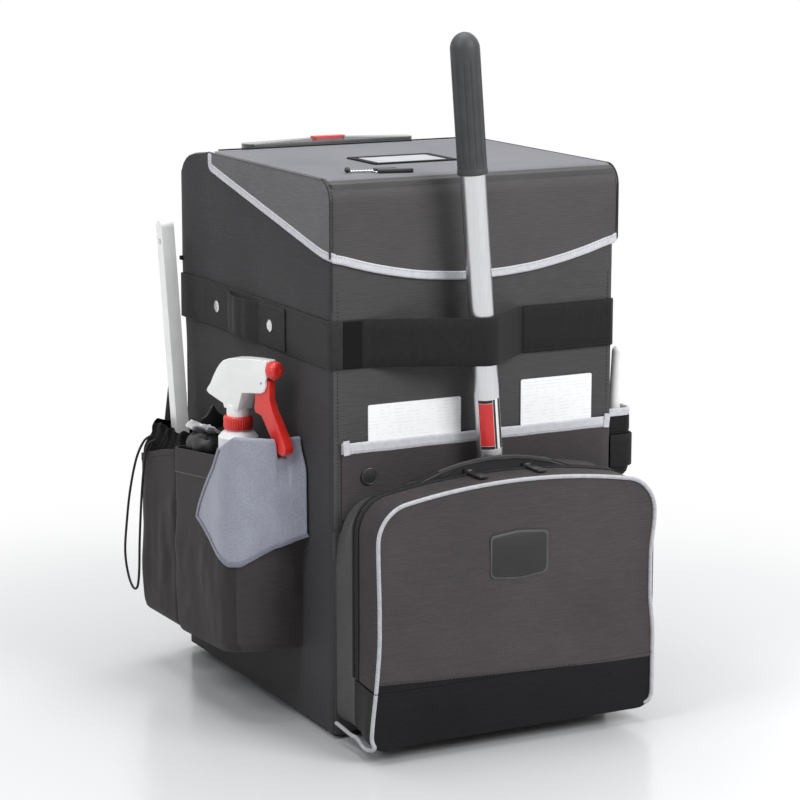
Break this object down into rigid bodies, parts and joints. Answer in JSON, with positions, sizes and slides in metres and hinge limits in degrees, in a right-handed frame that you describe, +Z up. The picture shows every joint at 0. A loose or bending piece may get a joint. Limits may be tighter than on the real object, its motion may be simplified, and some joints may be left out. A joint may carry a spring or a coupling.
{
  "type": "housekeeping cart bag",
  "caption": "Soft-sided wheeled housekeeping cart bag with hinged lid, pull handle, zipped front pocket, side pockets and stowed mop pole, sprayer, brush and cloth.",
  "frame": {"origin": "on the floor, in the middle of the whole object's footprint", "axes": "+X towards the cart's right side, -Y towards its front with the zipped pocket, +Z up"},
  "size_m": [0.4794, 0.5274, 0.7902],
  "materials": {
    "wall_fabric": "woven polyester",
    "dark_fabric": "coated black polyester",
    "trim_tape": "grey binding tape",
    "webbing": "black webbing",
    "lining": "lining cloth",
    "black_plastic": "moulded",
    "grey_plastic": "moulded",
    "red_plastic": "moulded",
    "handle_metal": "drawn tube",
    "axle_steel": "turned",
    "rivet_metal": "polished",
    "tyre_rubber": "smooth tread",
    "bottle_plastic": "blown",
    "spray_red": "moulded",
    "window_plastic": "clear window in a black border",
    "label_plastic": "bare raised patch",
    "microfibre": "knitted microfibre",
    "card": null,
    "liner_film": "rolled film",
    "brush_white": "moulded",
    "bristle": "bristle block",
    "cord": "braided cord",
    "lock_brown": "moulded barrel"
  },
  "bodies": {
    "cart": {"side_walls": "wall_fabric", "front_wall": "wall_fabric", "rear_wall": "wall_fabric", "shoulder_cover": "wall_fabric", "mouth_frame": "black_plastic", "rear_liner": "lining", "base_tray": "black_plastic", "glide_feet": "black_plastic", "wheel_housings": "black_plastic", "wheel_axles": "axle_steel", "handle_guides": "handle_metal", "handle_bezel": "black_plastic", "side_belts": "webbing", "carry_handles": "webbing", "handle_rivets": "rivet_metal", "front_strap": "webbing", "slip_pocket": "wall_fabric", "pocket_trims": "trim_tape", "pole_sleeve": "wall_fabric", "pocket_boot": "dark_fabric", "zip_track": "black_plastic", "bottle_pocket": "wall_fabric", "drawstring_pocket": "wall_fabric", "drawstring_collar": "dark_fabric", "drawstring_cord": "cord", "cord_lock": "lock_brown", "tube_pocket": "dark_fabric", "tube_loop": "webbing", "microfibre_cloth": "microfibre"},
    "lid": {"lid_top": "wall_fabric", "lid_skirts": "wall_fabric", "lid_binding": "trim_tape", "id_window": "window_plastic"},
    "keys": {"key_set": "black_plastic"},
    "flap": {"flap_panel": "wall_fabric", "flap_gusset": "wall_fabric", "flap_piping": "trim_tape", "label_patch": "label_plastic"},
    "left_pull": {"zip_pull_left": "black_plastic"},
    "right_pull": {"zip_pull_right": "black_plastic"},
    "pull_handle": {"handle_grip": "grey_plastic", "handle_tubes": "handle_metal"},
    "release_button": {"handle_button": "red_plastic"},
    "left_wheel": {"tyre_left": "tyre_rubber", "hub_left": "grey_plastic"},
    "right_wheel": {"tyre_right": "tyre_rubber", "hub_right": "grey_plastic"},
    "sprayer": {"spray_bottle": "bottle_plastic", "spray_collar": "spray_red", "spray_head": "bottle_plastic"},
    "spray_trigger": {"trigger": "spray_red"},
    "spray_nozzle": {"nozzle": "spray_red"},
    "mop_pole": {"pole_tube": "handle_metal", "pole_grip": "black_plastic"},
    "brush": {"brush_handle": "brush_white", "brush_head": "bristle"},
    "slim_tool": {"wand": "brush_white"},
    "left_card": {"card_left": "card"},
    "right_card": {"card_right": "card"},
    "liners": {"liner_bundle": "liner_film"}
  },
  "joints": [
    {"name": "lid_hinge", "type": "hinge", "parent": "cart", "child": "lid", "pos_m": [0.02275, 0.17125, 0.6313], "axis": [-1, 0, 0], "range_deg": [0, 95]},
    {"name": "keys_lift", "type": "slide", "parent": "lid", "child": "keys", "axis": [0, 0, 1], "range_m": [0, 0.15]},
    {"name": "pocket_flap_hinge", "type": "hinge", "parent": "cart", "child": "flap", "pos_m": [0.02275, -0.26405, 0.082], "axis": [1, 0, 0], "range_deg": [0, 95]},
    {"name": "left_pull_hinge", "type": "hinge", "parent": "cart", "child": "left_pull", "pos_m": [-0.01125, -0.20705, 0.30555], "axis": [-1, 0, 0], "range_deg": [0, 80]},
    {"name": "right_pull_hinge", "type": "hinge", "parent": "cart", "child": "right_pull", "pos_m": [0.06275, -0.20705, 0.30527], "axis": [-1, 0, 0], "range_deg": [0, 80]},
    {"name": "handle_slide", "type": "slide", "parent": "cart", "child": "pull_handle", "axis": [0, 0, 1], "range_m": [0, 0.43]},
    {"name": "button_press", "type": "slide", "parent": "pull_handle", "child": "release_button", "axis": [0, 0, -1], "range_m": [0, 0.004], "stiffness_N_per_m": 400, "springref_m": -0.004},
    {"name": "left_wheel_spin", "type": "hinge", "parent": "cart", "child": "left_wheel", "pos_m": [-0.12945, 0.22625, 0.038], "axis": [1, 0, 0], "continuous": true},
    {"name": "right_wheel_spin", "type": "hinge", "parent": "cart", "child": "right_wheel", "pos_m": [0.17495, 0.22625, 0.038], "axis": [1, 0, 0], "continuous": true},
    {"name": "sprayer_lift", "type": "slide", "parent": "cart", "child": "sprayer", "axis": [0, 0, 1], "range_m": [0, 0.25]},
    {"name": "trigger_squeeze", "type": "hinge", "parent": "sprayer", "child": "spray_trigger", "pos_m": [-0.18806, -0.05198, 0.3943], "axis": [0.9646, 0.2639, 0], "range_deg": [0, 18], "stiffness_Nm_per_rad": 0.3, "springref_deg": -6.88},
    {"name": "nozzle_turn", "type": "hinge", "parent": "sprayer", "child": "spray_nozzle", "pos_m": [-0.18383, -0.06741, 0.41], "axis": [0.2639, -0.9646, 0], "continuous": true},
    {"name": "pole_lift", "type": "slide", "parent": "cart", "child": "mop_pole", "axis": [-0.0958, -0.0384, 0.9947], "range_m": [0, 0.3]},
    {"name": "brush_lift", "type": "slide", "parent": "cart", "child": "brush", "axis": [-0.0261, 0.0924, 0.9954], "range_m": [0, 0.25]},
    {"name": "slim_tool_lift", "type": "slide", "parent": "cart", "child": "slim_tool", "axis": [0.0558, 0, 0.9984], "range_m": [0, 0.1]},
    {"name": "left_card_lift", "type": "slide", "parent": "cart", "child": "left_card", "axis": [0, 0, 1], "range_m": [0, 0.04]},
    {"name": "right_card_lift", "type": "slide", "parent": "cart", "child": "right_card", "axis": [0, 0, 1], "range_m": [0, 0.028]},
    {"name": "liners_lift", "type": "slide", "parent": "cart", "child": "liners", "axis": [0, 0, 1], "range_m": [0, 0.1]}
  ]
}
